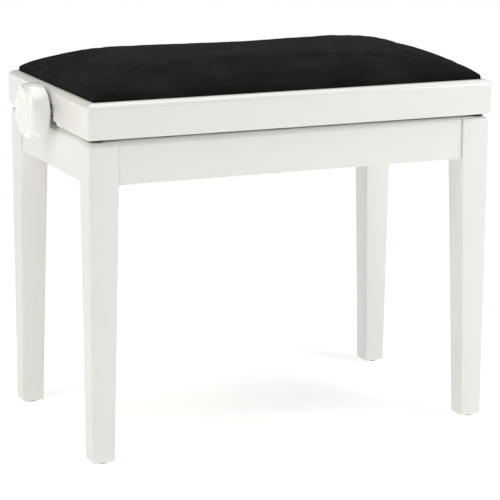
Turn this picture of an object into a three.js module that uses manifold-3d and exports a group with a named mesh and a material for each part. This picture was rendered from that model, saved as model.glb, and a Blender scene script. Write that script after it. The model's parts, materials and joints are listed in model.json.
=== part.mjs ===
// Height-adjustable piano bench.
// A wooden leg frame carries a padded seat frame, which rises straight up on two pairs of crossed steel arms.
// A threaded spindle with a knob at each end draws the arms' feet together and so lifts the seat.
// Millimetres. X runs along the bench, Y from front to back, Z up. The origin is on the floor, under the middle.

import * as THREE from "three";
import { mergeVertices } from "three/addons/utils/BufferGeometryUtils.js";
import Module from "manifold-3d";

const wasm = await Module();
wasm.setup();

// Overall sizes.
const seatLength = 550; // outside of the seat frame, along X
const seatDepth = 320; // outside of the seat frame, along Y
const legLength = 401; // from the foot to the top of a leg
const seatLift = 100; // full rise of the seat

// Clearances.
const fit = 0.3; // between pieces that touch
const pinFit = 0.4; // round a pin that turns, measured on the radius
const laneGap = 1.2; // between flat pieces that slide past each other
const overcut = 2; // how far a cutting solid runs past the faces that it cuts

// Leg frame.
const legInsetX = 2.5; // leg face behind the seat frame's end face
const legInsetY = 4; // leg face behind the seat frame's front face
const legWidth = 38; // square section at the top
const footWidth = 29; // square section at the foot
const legEdgeRadius = 2.5; // upright edges
const footChamfer = 1.5;
const apronHeight = 54;
const apronThickness = 20;
const apronRecess = 2.4; // apron face behind the leg face
const topRoundover = 7.5; // top outside edge of legs and aprons
const glideRadius = 11;
const glideHeight = 1.7;
const nailRadius = 1.2;
const nailLength = 12;

// Corner braces and the bolts that pull the legs against them.
const braceThickness = 14;
const braceHeight = 42;
const braceLegGap = 1.8; // between a brace and the leg's inner edge, taken up as the bolt is tightened
const boltRadius = 4;
const boltBite = 26; // how deep a bolt goes into its leg
const boltHeadRadius = 7.5;
const boltHeadHeight = 5.5;
const boltLift = 27; // bolt axis above the apron's lower edge

// Seat frame.
const seatGap = 3.5; // between the legs' tops and the lowered seat frame
const railHeight = 44;
const railWidth = 22;
const ledgeWidth = 11.5; // wooden edge that shows round the cushion
const rabbetDepth = 14.4; // from the frame's top down to the step that carries the board
const railRoundover = 8.5; // top outside edge
const railEdgeRadius = 3; // upright corners of the frame
const bumperRadius = 9.5;
const bumperInset = 13; // bumper centre behind the leg's faces

// Opening in each end rail, which lets the lowered frame pass the spindle.
const notchHalfWidth = 28;
const notchHeight = 39;
const notchTopRadius = 27;
const notchFootRadius = 3; // inside corners at the foot of the opening
const mouthHalfWidth = 42; // shallow step along the rail's lower edge, on both sides of the opening
const mouthRise = 4;
const mouthRadius = 1.8;

// Cushion.
const boardThickness = 10;
const coverThickness = 1.5;
const cushionEdgeRise = 5; // upright part of the cushion's edge above the frame
const cushionCrown = 35.5; // highest point of the cushion above the frame
const crownFlatnessX = 8; // exponents of the crown: higher is flatter on top and steeper at the ends
const crownFlatnessY = 4;
const crownSoftness = 0.56; // power of the whole crown: lower is rounder at the edge
const cushionColumns = 18;
const cushionRows = 12;

// Crossed arms.
const pivotSetIn = 63.5; // lower pivots behind the leg frame's end faces
const lowerPivotLift = 33; // lower pivots above the aprons' lower edge
const upperPivotLift = 15.5; // upper pivots above the seat frame's lower edge
const armWidth = 18;
const armThickness = 4;
const pinRadius = 4;
const pinHeadRadius = 7;
const pinHeadHeight = 2.4;

// Steel angles that the arms run on.
const angleWall = 2.5;
const angleFlange = 16; // width of the flat flange
const angleUpright = 30.3; // height of the upright flange on the leg frame
const seatAngleUpright = 24; // height of the upright flange under the seat
const angleEndGap = 2; // between the seat's angles and its end rails
const braceClearance = 2.4; // between the angles and the corner braces

// Spindle, knobs and bearings.
const spindleLift = 14.5; // spindle axis above the lowered seat frame's lower edge
const spindleRadius = 6;
const knobRadius = 35;
const knobThickness = 30.5;
const knobStandOff = 4.5; // knob's back behind which the seat frame's end face lies
const knobBackRadius = 31.5; // flat part of the back
const knobBackRound = 5; // how far the back's rounding runs along the axis
const knobFaceRadius = 27; // flat part of the face
const knobFaceRound = 9;
const knobDome = 4;
const knobSocketDepth = 20;
const bracketThickness = 3;
const bracketHalfWidth = 20;
const bracketTopRadius = 12;
const bracketShoulder = 24; // bracket's shoulders below the spindle axis
const bracketFoot = 62; // bracket's lower edge below the spindle axis
const bushingRadius = 9;
const bushingFlangeRadius = 11;
const bushingFlange = 2;
const collarRadius = 11;
const collarWidth = 8;

// Crosshead: the block that the spindle drives, with the rod that pushes the arms' feet.
const crossheadThickness = 16;
const crossheadHalfWidth = 14;
const crossheadOverhang = 10.5; // above the nut's axis and below the rod's axis
const nutRadius = 9;
const nutFlangeRadius = 12;
const nutFlange = 3;
const driveRodRadius = 5;
const rollerRadius = 9.5;
const rollerWidth = 4.4;

// Heights, from the floor up.
const footZ = glideHeight + fit;
const legTopZ = footZ + legLength;
const apronBottomZ = legTopZ - apronHeight;
const seatBottomZ = legTopZ + seatGap;
const seatTopZ = seatBottomZ + railHeight;
const rabbetZ = seatTopZ - rabbetDepth;
const boardZ = rabbetZ + fit;
const boardTopZ = boardZ + boardThickness;
const boltZ = apronBottomZ + boltLift;
const lowerPivotZ = apronBottomZ + lowerPivotLift;
const upperPivotZ = seatBottomZ + upperPivotLift;
const spindleZ = seatBottomZ + spindleLift;

// Places along X and Y.
const legHalfX = seatLength / 2 - legInsetX;
const legHalfY = seatDepth / 2 - legInsetY;
const apronInner = apronRecess + apronThickness; // aprons' inner faces behind the legs' outer faces
const endApronX = legHalfX - apronInner;
const braceNear = 2 * legWidth + braceLegGap * Math.SQRT2; // u + v on the brace face that looks at the leg
const braceFar = braceNear + braceThickness * Math.SQRT2;
const braceReach = braceFar - apronInner - fit;
const angleY = legHalfY - braceReach - braceClearance; // outer face of the upright flanges
const outerArmY = angleY - angleWall - laneGap - armThickness / 2;
const innerArmY = outerArmY - armThickness - laneGap;
const openingHalfX = seatLength / 2 - ledgeWidth;
const openingHalfY = seatDepth / 2 - ledgeWidth;

// The lift. Each swing keeps a constant proportion to the seat's rise, so the free ends stray a little on the way.
const pivotX = legHalfX - pivotSetIn;
const restSpan = 2 * pivotX;
const restRise = upperPivotZ - lowerPivotZ;
const armLength = Math.hypot(restSpan, restRise);
const restAngle = Math.asin(restRise / armLength);
const topAngle = Math.asin((restRise + seatLift) / armLength);
const middleAngle = (restAngle + topAngle) / 2;
const topSpan = armLength * Math.cos(topAngle);
const strayRise = armLength * Math.sin(middleAngle) - restRise - seatLift / 2;
const strayReach = armLength * Math.cos(middleAngle) - (restSpan + topSpan) / 2;
const straySide = strayReach * Math.sin(middleAngle); // the part of that stray which lies across the arm

const finishes = {
  paint: { color: 0xefeee9, roughness: 0.35, metalness: 0 },
  gloss: { color: 0xf6f5f0, roughness: 0.12, metalness: 0 },
  rawWood: { color: 0xcdb48a, roughness: 0.75, metalness: 0 },
  velvet: { color: 0x0b0b0c, roughness: 0.95, metalness: 0 },
  foam: { color: 0xe6dfb8, roughness: 0.95, metalness: 0 },
  rubber: { color: 0x151515, roughness: 0.85, metalness: 0 },
  blackSteel: { color: 0x1d1d1f, roughness: 0.5, metalness: 0.6 },
  zincSteel: { color: 0xb9bcc0, roughness: 0.35, metalness: 1 },
  brass: { color: 0xc9a452, roughness: 0.35, metalness: 1 },
  nylon: { color: 0xdedbd2, roughness: 0.5, metalness: 0 },
};

const sides = { left: -1, right: 1 };
const halves = { front: -1, back: 1 };
const roundSegments = 24;
const smallSegments = 16;
const curveSegments = 8; // in each arc of an outline
const legEdgeSegments = 3;
const frameEdgeSegments = 5;
const roundSteps = 6; // in each quarter of a rounded edge

// Solids and cuts.

function toSolid(geometry) {
  const bare = new THREE.BufferGeometry();
  bare.setAttribute("position", geometry.getAttribute("position"));
  bare.setIndex(geometry.getIndex());
  const merged = mergeVertices(bare);
  return new wasm.Manifold(
    new wasm.Mesh({
      numProp: 3,
      vertProperties: new Float32Array(merged.attributes.position.array),
      triVerts: new Uint32Array(merged.index.array),
    }),
  );
}

function toGeometry(made) {
  const mesh = made.getMesh();
  const geometry = new THREE.BufferGeometry();
  geometry.setAttribute("position", new THREE.BufferAttribute(mesh.vertProperties, 3));
  geometry.setIndex(new THREE.BufferAttribute(mesh.triVerts, 1));
  return geometry;
}

function cut(geometry, tools) {
  const made = tools.reduce((body, tool) => body.subtract(toSolid(tool)), toSolid(geometry));
  return toGeometry(made);
}

function join(geometries) {
  const made = geometries.map(toSolid).reduce((body, other) => body.add(other));
  return toGeometry(made);
}

function makePiece(name, finish, geometry) {
  const mesh = new THREE.Mesh(geometry, new THREE.MeshStandardMaterial(finishes[finish]));
  mesh.name = name;
  return mesh;
}

function move(geometry, x, y, z) {
  return geometry.clone().translate(x, y, z);
}

function blockBetween(low, high) {
  const size = high.map((value, axis) => value - low[axis]);
  const middle = high.map((value, axis) => (value + low[axis]) / 2);
  return new THREE.BoxGeometry(...size).translate(...middle);
}

function outline(points) {
  return new THREE.Shape(points.map(([x, y]) => new THREE.Vector2(x, y)));
}

// Extrudes an outline drawn in (Y, Z) along X, centred on X = 0.
function extrudeAlongX(shape, length) {
  const geometry = new THREE.ExtrudeGeometry(shape, { depth: length, bevelEnabled: false, curveSegments });
  const turn = new THREE.Matrix4().makeBasis(
    new THREE.Vector3(0, 1, 0),
    new THREE.Vector3(0, 0, 1),
    new THREE.Vector3(1, 0, 0),
  );
  return geometry.applyMatrix4(turn).translate(-length / 2, 0, 0);
}

// Extrudes an outline drawn in (X, Z) along Y, centred on Y = 0.
function extrudeAlongY(shape, length) {
  const geometry = new THREE.ExtrudeGeometry(shape, { depth: length, bevelEnabled: false, curveSegments });
  return geometry.rotateX(Math.PI / 2).translate(0, length / 2, 0);
}

function rodAlongX(radius, length) {
  return new THREE.CylinderGeometry(radius, radius, length, roundSegments).rotateZ(-Math.PI / 2);
}

function rodAlongY(radius, length) {
  return new THREE.CylinderGeometry(radius, radius, length, smallSegments);
}

// Turns a profile of [radius, distance along the axis] points about the Y axis.
function turned(points, segments) {
  return new THREE.LatheGeometry(points.map(([r, along]) => new THREE.Vector2(r, along)), segments);
}

// A ring whose closed profile is a bore, an outer radius and a flange at its lower end.
function flangedRing(bore, radius, length, flangeRadius, flange) {
  const profile = [
    [bore, 0],
    [flangeRadius, 0],
    [flangeRadius, flange],
    [radius, flange],
    [radius, length],
    [bore, length],
    [bore, 0],
  ];
  return turned(profile, roundSegments);
}

function plainRing(bore, radius, length) {
  const profile = [
    [bore, 0],
    [radius, 0],
    [radius, length],
    [bore, length],
    [bore, 0],
  ];
  return turned(profile, roundSegments);
}

// A pin with a shank from 0 to length and a head past each end that has one.
function headedPin(radius, length, startHead, endHead) {
  const profile = [[0, startHead ? -pinHeadHeight : 0]];
  if (startHead) {
    profile.push([pinHeadRadius, -pinHeadHeight], [pinHeadRadius, 0]);
  }
  profile.push([radius, 0], [radius, length]);
  if (endHead) {
    profile.push([pinHeadRadius, length], [pinHeadRadius, length + pinHeadHeight]);
  }
  profile.push([0, endHead ? length + pinHeadHeight : length]);
  return turned(profile, smallSegments);
}

// Leg frame.

// Each leg, glide, brace and bolt is drawn for one corner: u and v run inwards from the leg's outer faces.
const corners = {
  front_left: { x: -legHalfX, y: -legHalfY, turn: 0 },
  front_right: { x: legHalfX, y: -legHalfY, turn: 1 },
  back_right: { x: legHalfX, y: legHalfY, turn: 2 },
  back_left: { x: -legHalfX, y: legHalfY, turn: 3 },
};

function roundedSquare(width, radius) {
  const shape = new THREE.Shape();
  const far = width - radius;
  shape.moveTo(radius, 0);
  shape.lineTo(far, 0);
  shape.absarc(far, radius, radius, -Math.PI / 2, 0);
  shape.absarc(far, far, radius, 0, Math.PI / 2);
  shape.absarc(radius, far, radius, Math.PI / 2, Math.PI);
  shape.absarc(radius, radius, radius, Math.PI, 1.5 * Math.PI);
  return shape;
}

// Where a leg's outer and inner faces stand at each height. The inner faces taper in below the aprons.
function legLevels() {
  const taper = legLength - apronHeight;
  const footGrowth = (legWidth - footWidth) * (footChamfer / taper);
  const levels = [
    { z: 0, outer: footChamfer, inner: footWidth - footChamfer },
    { z: footChamfer, outer: 0, inner: footWidth + footGrowth },
    { z: taper, outer: 0, inner: legWidth },
  ];
  for (let step = 0; step <= roundSteps; step += 1) {
    const angle = (Math.PI / 2) * (step / roundSteps);
    const rise = topRoundover * Math.sin(angle);
    const back = topRoundover * (1 - Math.cos(angle));
    levels.push({ z: legLength - topRoundover + rise, outer: back, inner: legWidth });
  }
  return levels;
}

function legGeometry() {
  const levels = legLevels();
  const steps = levels.length - 1;
  const shape = roundedSquare(legWidth, legEdgeRadius);
  const geometry = new THREE.ExtrudeGeometry(shape, { depth: steps, steps, bevelEnabled: false, curveSegments: legEdgeSegments });
  const place = geometry.getAttribute("position");
  for (let i = 0; i < place.count; i += 1) {
    const level = levels[Math.round(place.getZ(i))];
    const width = level.inner - level.outer;
    const u = level.outer + (place.getX(i) / legWidth) * width;
    const v = level.outer + (place.getY(i) / legWidth) * width;
    place.setXYZ(i, u, v, footZ + level.z);
  }
  const depth = nailLength + nailRadius + fit + overcut;
  const nailHole = new THREE.CylinderGeometry(nailRadius + fit, nailRadius + fit, depth, smallSegments);
  nailHole.rotateX(Math.PI / 2).translate(footWidth / 2, footWidth / 2, footZ + depth / 2 - overcut);
  return cut(geometry, [nailHole, boltHole()]);
}

// Distances along the corner's diagonal, from the outer edge of the leg inwards.
const legDiagonal = legWidth * Math.SQRT2;
const braceFace = braceFar / Math.SQRT2;

function alongDiagonal(geometry) {
  return geometry.rotateZ(-Math.PI / 4).translate(0, 0, boltZ);
}

function boltHole() {
  const start = legDiagonal - boltBite - fit;
  const length = braceFace + overcut - start;
  const hole = new THREE.CylinderGeometry(boltRadius + fit, boltRadius + fit, length, smallSegments);
  return alongDiagonal(hole.translate(0, start + length / 2, 0));
}

function boltGeometry() {
  const start = legDiagonal - boltBite;
  const headStart = braceFace + fit;
  const length = headStart + boltHeadHeight / 2 - start;
  const shank = new THREE.CylinderGeometry(boltRadius, boltRadius, length, smallSegments);
  const head = new THREE.CylinderGeometry(boltHeadRadius, boltHeadRadius, boltHeadHeight, 6);
  shank.translate(0, start + length / 2, 0);
  head.translate(0, headStart + boltHeadHeight / 2, 0);
  return alongDiagonal(join([shank, head]));
}

function braceGeometry() {
  const near = apronInner + fit;
  const shape = outline([
    [near, braceNear - near],
    [near, braceFar - near],
    [braceFar - near, near],
    [braceNear - near, near],
  ]);
  const geometry = new THREE.ExtrudeGeometry(shape, { depth: braceHeight, bevelEnabled: false });
  geometry.translate(0, 0, boltZ - braceHeight / 2);
  return cut(geometry, [boltHole()]);
}

// A furniture glide: a disc with a nail that goes up into the foot.
function glideGeometry() {
  const profile = [
    [0, 0],
    [glideRadius - glideHeight / 2, 0],
    [glideRadius, glideHeight / 2],
    [glideRadius, glideHeight],
    [nailRadius, glideHeight],
    [nailRadius, glideHeight + nailLength],
    [0, glideHeight + nailLength + nailRadius],
  ];
  return turned(profile, smallSegments).rotateX(Math.PI / 2).translate(footWidth / 2, footWidth / 2, 0);
}

function apronGeometry(length) {
  const shape = new THREE.Shape();
  shape.moveTo(0, apronBottomZ);
  shape.lineTo(apronThickness, apronBottomZ);
  shape.lineTo(apronThickness, legTopZ);
  shape.lineTo(topRoundover, legTopZ);
  shape.absarc(topRoundover, legTopZ - topRoundover, topRoundover, Math.PI / 2, Math.PI);
  return extrudeAlongX(shape, length);
}

// The four sides of a rectangular frame. Each group's -Y looks out of the bench.
function frameSides(halfX, halfY) {
  return {
    front: { turn: 0, reach: halfY, halfSpan: halfX },
    right: { turn: 1, reach: halfX, halfSpan: halfY },
    back: { turn: 2, reach: halfY, halfSpan: halfX },
    left: { turn: 3, reach: halfX, halfSpan: halfY },
  };
}

function buildLegFrame() {
  const frame = new THREE.Group();
  for (const [name, corner] of Object.entries(corners)) {
    const group = new THREE.Group();
    group.position.set(corner.x, corner.y, 0);
    group.rotation.z = (corner.turn * Math.PI) / 2;
    group.add(makePiece("leg_" + name, "paint", legGeometry()));
    group.add(makePiece("glide_" + name, "rubber", glideGeometry()));
    group.add(makePiece("corner_brace_" + name, "rawWood", braceGeometry()));
    group.add(makePiece("leg_bolt_" + name, "zincSteel", boltGeometry()));
    frame.add(group);
  }
  for (const [name, side] of Object.entries(frameSides(legHalfX, legHalfY))) {
    const length = 2 * (side.halfSpan - legWidth - fit);
    const apron = makePiece("apron_" + name, "paint", apronGeometry(length));
    apron.rotation.z = (side.turn * Math.PI) / 2;
    apron.position.set(0, apronRecess - side.reach, 0).applyEuler(apron.rotation);
    frame.add(apron);
  }
  return frame;
}

// Seat frame.

function railProfile() {
  const shape = new THREE.Shape();
  shape.moveTo(0, seatBottomZ);
  shape.lineTo(railWidth, seatBottomZ);
  shape.lineTo(railWidth, rabbetZ);
  shape.lineTo(ledgeWidth, rabbetZ);
  shape.lineTo(ledgeWidth, seatTopZ);
  shape.lineTo(railRoundover, seatTopZ);
  shape.absarc(railRoundover, seatTopZ - railRoundover, railRoundover, Math.PI / 2, Math.PI);
  return shape;
}

// The frame's outside with its upright corners rounded, centred on X = Y = 0.
function frameEnvelope(halfX, halfY) {
  const shape = new THREE.Shape();
  const x = halfX - railEdgeRadius;
  const y = halfY - railEdgeRadius;
  shape.absarc(x, y, railEdgeRadius, 0, Math.PI / 2);
  shape.absarc(-x, y, railEdgeRadius, Math.PI / 2, Math.PI);
  shape.absarc(-x, -y, railEdgeRadius, Math.PI, 1.5 * Math.PI);
  shape.absarc(x, -y, railEdgeRadius, 1.5 * Math.PI, 2 * Math.PI);
  const depth = railHeight + 2 * overcut;
  const geometry = new THREE.ExtrudeGeometry(shape, { depth, bevelEnabled: false, curveSegments: frameEdgeSegments });
  return geometry.translate(0, 0, seatBottomZ - overcut);
}

// The opening stands on a shallow step, which is wider than the opening itself.
function notchCutter() {
  const top = seatBottomZ + notchHeight - notchTopRadius;
  const step = seatBottomZ + mouthRise;
  const low = seatBottomZ - overcut;
  const outer = mouthHalfWidth - mouthRadius;
  const foot = notchHalfWidth + notchFootRadius;
  const crown = notchHalfWidth - notchTopRadius;
  const shape = new THREE.Shape();
  shape.moveTo(-mouthHalfWidth, low);
  shape.lineTo(mouthHalfWidth, low);
  shape.absarc(outer, step - mouthRadius, mouthRadius, 0, Math.PI / 2);
  shape.absarc(foot, step + notchFootRadius, notchFootRadius, 1.5 * Math.PI, Math.PI, true);
  shape.absarc(crown, top, notchTopRadius, 0, Math.PI / 2);
  shape.absarc(-crown, top, notchTopRadius, Math.PI / 2, Math.PI);
  shape.absarc(-foot, step + notchFootRadius, notchFootRadius, 0, -Math.PI / 2, true);
  shape.absarc(-outer, step - mouthRadius, mouthRadius, Math.PI / 2, Math.PI);
  return extrudeAlongY(shape, 2 * (railWidth + overcut));
}

// A rail with its ends mitred, its outer face on Y = 0.
function railGeometry(halfSpan, hasNotch) {
  const geometry = extrudeAlongX(railProfile(), 2);
  const place = geometry.getAttribute("position");
  for (let i = 0; i < place.count; i += 1) {
    const end = halfSpan - place.getY(i) - fit / Math.SQRT2;
    place.setX(i, place.getX(i) * end);
  }
  return hasNotch ? cut(geometry, [notchCutter()]) : geometry;
}

// A closed block with a flat base and a crowned top.
function crownedBlock(halfX, halfY, baseZ, edgeZ, crownZ) {
  const geometry = new THREE.BoxGeometry(2, 2, 2, cushionColumns, cushionRows, 1);
  const place = geometry.getAttribute("position");
  for (let i = 0; i < place.count; i += 1) {
    const u = Math.sin((place.getX(i) * Math.PI) / 2);
    const v = Math.sin((place.getY(i) * Math.PI) / 2);
    const fullness = ((1 - Math.abs(u) ** crownFlatnessX) * (1 - Math.abs(v) ** crownFlatnessY)) ** crownSoftness;
    const top = edgeZ + (crownZ - edgeZ) * fullness;
    place.setXYZ(i, u * halfX, v * halfY, place.getZ(i) > 0 ? top : baseZ);
  }
  return geometry;
}

function coverGeometry() {
  const halfX = openingHalfX - fit;
  const halfY = openingHalfY - fit;
  const edgeZ = seatTopZ + cushionEdgeRise;
  const outside = crownedBlock(halfX, halfY, boardZ, edgeZ, seatTopZ + cushionCrown);
  const inside = crownedBlock(
    halfX - coverThickness,
    halfY - coverThickness,
    boardZ - overcut,
    edgeZ - coverThickness,
    seatTopZ + cushionCrown - coverThickness,
  );
  return cut(outside, [inside]);
}

function foamGeometry() {
  const skin = coverThickness + fit;
  const edgeZ = seatTopZ + cushionEdgeRise - skin;
  const halfX = openingHalfX - fit - skin;
  const halfY = openingHalfY - fit - skin;
  return crownedBlock(halfX, halfY, boardTopZ + fit, edgeZ, seatTopZ + cushionCrown - skin);
}

function boardGeometry() {
  const x = openingHalfX - 2 * fit - coverThickness;
  const y = openingHalfY - 2 * fit - coverThickness;
  return blockBetween([-x, -y, boardZ], [x, y, boardTopZ]);
}

function buildSeat() {
  const seat = new THREE.Group();
  for (const [name, side] of Object.entries(frameSides(seatLength / 2, seatDepth / 2))) {
    const isEnd = side.turn % 2 === 1;
    const blank = railGeometry(side.halfSpan, isEnd).translate(0, -side.reach, 0);
    const envelope = frameEnvelope(side.halfSpan, side.reach);
    const rounded = toGeometry(toSolid(blank).intersect(toSolid(envelope)));
    const rail = makePiece("seat_rail_" + name, "paint", rounded);
    rail.rotation.z = (side.turn * Math.PI) / 2;
    seat.add(rail);
  }
  for (const [name, corner] of Object.entries(corners)) {
    const thickness = seatGap - 2 * fit;
    const pad = new THREE.CylinderGeometry(bumperRadius, bumperRadius, thickness, smallSegments);
    const bumper = makePiece("bumper_" + name, "rubber", pad.rotateX(Math.PI / 2));
    const x = corner.x - Math.sign(corner.x) * bumperInset;
    const y = corner.y - Math.sign(corner.y) * bumperInset;
    bumper.position.set(x, y, seatBottomZ - fit - thickness / 2);
    seat.add(bumper);
  }
  seat.add(makePiece("seat_board", "rawWood", boardGeometry()));
  seat.add(makePiece("seat_foam", "foam", foamGeometry()));
  seat.add(makePiece("seat_cover", "velvet", coverGeometry()));
  return seat;
}

// Steel angles. half is -1 for the front one and 1 for the back one.

function pinHole(radius, x, y, z) {
  return move(rodAlongY(radius, 2 * (angleWall + overcut)), x, y, z);
}

// A block whose low and high corners are given with Y counted outwards, on the front or the back half.
function halfBlock(half, low, high) {
  const ys = [half * low[1], half * high[1]].sort((a, b) => a - b);
  return blockBetween([low[0], ys[0], low[2]], [high[0], ys[1], high[2]]);
}

// An upright flange, a flat flange under the arms, and an end tab against each end apron.
function baseAngleGeometry(half) {
  const lowZ = lowerPivotZ - rollerRadius - fit - angleWall;
  const highZ = lowZ + angleUpright;
  const end = endApronX - fit;
  const inner = angleY - angleFlange;
  const blank = halfBlock(half, [-end, inner, lowZ], [end, angleY, highZ]);
  const trough = halfBlock(
    half,
    [angleWall - end, inner - overcut, lowZ + angleWall],
    [end - angleWall, angleY - angleWall, highZ + overcut],
  );
  const hole = pinHole(pinRadius + fit, -pivotX, half * (angleY - angleWall / 2), lowerPivotZ);
  return cut(blank, [trough, hole]);
}

// An upright flange and a flat flange under the board. The slot lets the outer arms' upper pins run inwards.
function seatAngleGeometry(half) {
  const topZ = boardZ - fit;
  const lowZ = topZ - seatAngleUpright;
  const end = seatLength / 2 - railWidth - angleEndGap;
  const inner = angleY - angleFlange;
  const blank = halfBlock(half, [-end, inner, lowZ], [end, angleY, topZ]);
  const trough = halfBlock(
    half,
    [-end - overcut, inner - overcut, lowZ - overcut],
    [end + overcut, angleY - angleWall, topZ - angleWall],
  );
  const y = half * (angleY - angleWall / 2);
  const hole = pinHole(pinRadius + fit, -pivotX, y, upperPivotZ);
  const slotShape = slotOutline(topSpan - pivotX - pinFit, pivotX + pinFit, pinRadius + strayRise + pinFit);
  const slot = extrudeAlongY(slotShape, 2 * (angleWall + overcut));
  return cut(blank, [trough, hole, move(slot, 0, y, upperPivotZ)]);
}

// A slot with round ends, from one end's centre to the other's, along X.
function slotOutline(start, end, radius) {
  const shape = new THREE.Shape();
  shape.absarc(end, 0, radius, -Math.PI / 2, Math.PI / 2);
  shape.absarc(start, 0, radius, Math.PI / 2, 1.5 * Math.PI);
  return shape;
}

// Arms. Each is drawn lying along +X from its lower pivot, and then tilted.

function armBlank() {
  return extrudeAlongY(slotOutline(0, armLength, armWidth / 2), armThickness);
}

function outerArmGeometry() {
  const lowerHole = rodAlongY(pinRadius + pinFit, armThickness + overcut);
  const fixedHole = rodAlongY(pinRadius + fit, armThickness + overcut);
  return cut(armBlank(), [lowerHole, move(fixedHole, armLength / 2, 0, 0), move(fixedHole, armLength, 0, 0)]);
}

// The inner arm's foot is slotted along the arm, and its upper hole is eased, to take up the stray.
function innerArmGeometry() {
  const footSlot = extrudeAlongY(
    slotOutline(-pinFit, strayReach + pinFit, driveRodRadius + straySide + pinFit),
    armThickness + overcut,
  );
  const middleHole = rodAlongY(pinRadius + pinFit, armThickness + overcut);
  const upperHole = rodAlongY(pinRadius + strayRise + pinFit, armThickness + overcut);
  return cut(armBlank(), [footSlot, move(middleHole, armLength / 2, 0, 0), move(upperHole, armLength, 0, 0)]);
}

// A pin that starts at startY with its axis pointing outwards, on the front or the back half.
function placePin(mesh, half, x, startY, z) {
  mesh.position.set(x, half * startY, z);
  mesh.rotation.z = half > 0 ? 0 : Math.PI;
  return mesh;
}

function buildArms() {
  const arms = new THREE.Group();
  const outerFace = angleY + fit;
  for (const [name, half] of Object.entries(halves)) {
    const outerArm = makePiece("outer_arm_" + name, "zincSteel", outerArmGeometry());
    outerArm.position.set(-pivotX, half * outerArmY, lowerPivotZ);
    outerArm.rotation.y = -restAngle;
    const innerArm = makePiece("inner_arm_" + name, "zincSteel", innerArmGeometry().rotateZ(Math.PI));
    innerArm.position.set(pivotX, half * innerArmY, lowerPivotZ);
    innerArm.rotation.y = restAngle;
    arms.add(outerArm, innerArm);

    const crossingStart = innerArmY - armThickness / 2 - fit;
    const crossingLength = outerArmY + armThickness / 2 - crossingStart;
    const crossing = headedPin(pinRadius, crossingLength, true, false);
    const crossingZ = (lowerPivotZ + upperPivotZ) / 2;
    const centrePin = makePiece("centre_pin_" + name, "blackSteel", crossing);
    arms.add(placePin(centrePin, half, 0, crossingStart, crossingZ));

    const slideStart = outerArmY - armThickness / 2 - fit;
    const slide = headedPin(pinRadius, outerFace - slideStart, true, true);
    arms.add(placePin(makePiece("slide_pin_" + name, "blackSteel", slide), half, pivotX, slideStart, upperPivotZ));

    const seatPinStart = innerArmY - armThickness / 2 - fit;
    const seatPin = headedPin(pinRadius, outerFace - seatPinStart, true, true);
    const seatPinMesh = makePiece("seat_pin_" + name, "blackSteel", seatPin);
    arms.add(placePin(seatPinMesh, half, -pivotX, seatPinStart, upperPivotZ));

    arms.add(makePiece("base_angle_" + name, "blackSteel", baseAngleGeometry(half)));
    arms.add(makePiece("seat_angle_" + name, "blackSteel", seatAngleGeometry(half)));
  }
  const rod = headedPin(pinRadius, 2 * outerFace, true, true);
  const pivotRod = makePiece("pivot_rod", "zincSteel", rod);
  pivotRod.position.set(-pivotX, -outerFace, lowerPivotZ);
  arms.add(pivotRod);
  return arms;
}

// Spindle, knobs and bearings.

// The knob's profile: a socket for the spindle, a flat back, a full rim and a softly domed face.
function knobGeometry() {
  const socket = spindleRadius + fit;
  const faceEdge = knobThickness - knobDome;
  const faceStart = faceEdge - knobFaceRound;
  const profile = [
    [0, knobSocketDepth],
    [socket, knobSocketDepth],
    [socket, 0],
  ];
  for (let step = 0; step <= roundSteps; step += 1) {
    const angle = (Math.PI / 2) * (step / roundSteps);
    const radius = knobBackRadius + (knobRadius - knobBackRadius) * Math.sin(angle);
    profile.push([radius, knobBackRound * (1 - Math.cos(angle))]);
  }
  for (let step = 0; step <= roundSteps; step += 1) {
    const angle = (Math.PI / 2) * (step / roundSteps);
    const radius = knobFaceRadius + (knobRadius - knobFaceRadius) * Math.cos(angle);
    profile.push([radius, faceStart + knobFaceRound * Math.sin(angle)]);
  }
  profile.push([knobFaceRadius / 2, knobThickness - knobDome / 4], [0, knobThickness]);
  return turned(profile, roundSegments).rotateZ(-Math.PI / 2);
}

// Drawn in (Y, Z) about the spindle's axis.
function bracketGeometry() {
  const shape = new THREE.Shape();
  shape.moveTo(-bracketHalfWidth, -bracketFoot);
  shape.lineTo(bracketHalfWidth, -bracketFoot);
  shape.lineTo(bracketHalfWidth, -bracketShoulder);
  shape.lineTo(bracketTopRadius, 0);
  shape.absarc(0, 0, bracketTopRadius, 0, Math.PI);
  shape.lineTo(-bracketHalfWidth, -bracketShoulder);
  const hole = rodAlongX(bushingRadius + fit, bracketThickness + overcut);
  return cut(extrudeAlongX(shape, bracketThickness), [hole]);
}

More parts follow.
